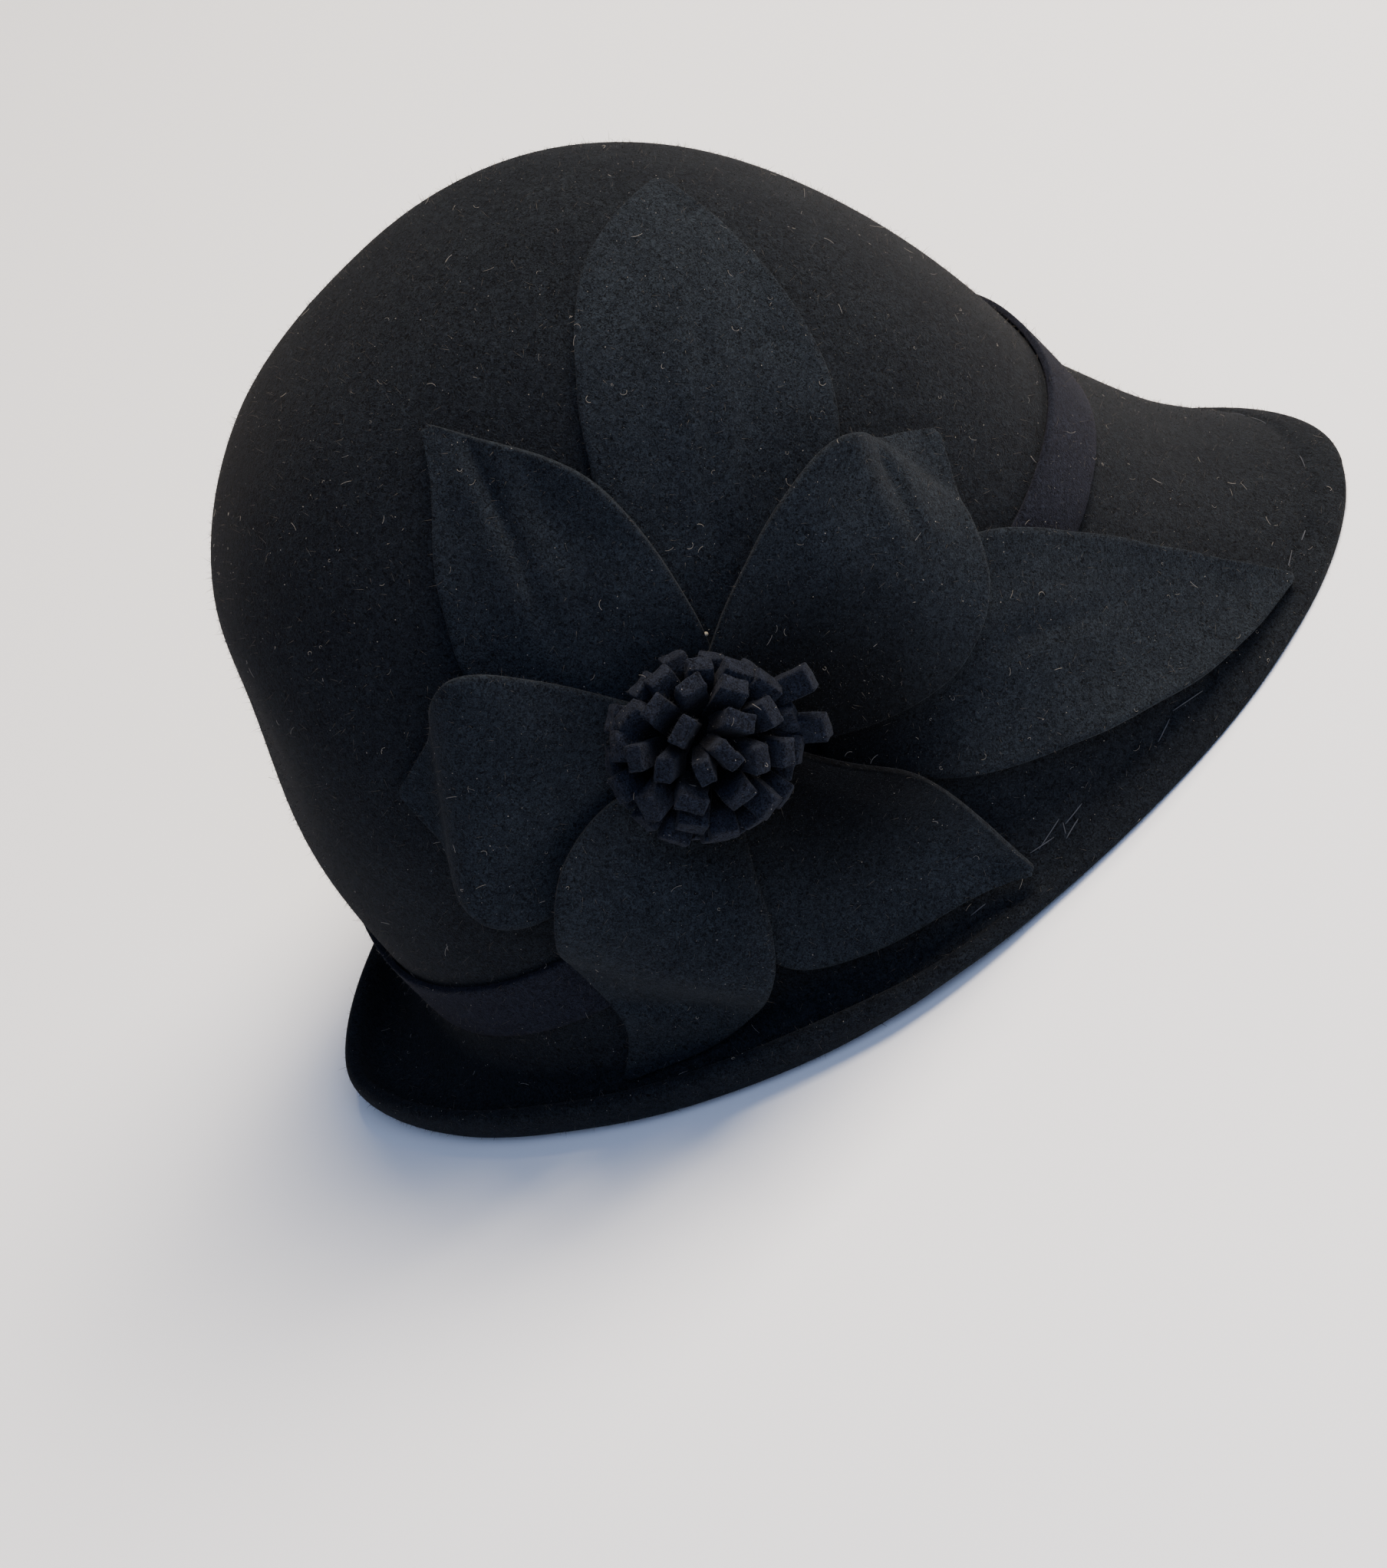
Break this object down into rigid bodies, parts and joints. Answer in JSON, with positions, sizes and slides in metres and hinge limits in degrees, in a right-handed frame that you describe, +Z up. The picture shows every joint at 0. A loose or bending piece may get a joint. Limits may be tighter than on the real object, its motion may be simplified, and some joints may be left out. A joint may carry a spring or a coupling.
{
  "type": "cloche hat",
  "caption": "Black felt cloche hat with a domed crown, a downturned brim rolled up behind, a felt strip round the crown and a large felt flower on the side.",
  "frame": {"origin": "middle of the hat's level outline, on the surface that the brim rests on", "axes": "the hat faces -Y, +X is the wearer's left, the flower is on the wearer's right at -X, +Z is up"},
  "size_m": [0.214, 0.28, 0.1782],
  "materials": {
    "body_felt": "matte felt",
    "band_felt": "matte felt",
    "petal_felt": "matte felt",
    "tuft_felt": "matte felt"
  },
  "bodies": {
    "root": {"crown_brim": "body_felt", "hat_band": "band_felt", "petal_top": "petal_felt", "petal_upper_left": "petal_felt", "petal_upper_right": "petal_felt", "petal_right": "petal_felt", "petal_lower_right": "petal_felt", "petal_bottom": "petal_felt", "petal_left": "petal_felt", "flower_centre": "tuft_felt"}
  },
  "joints": []
}
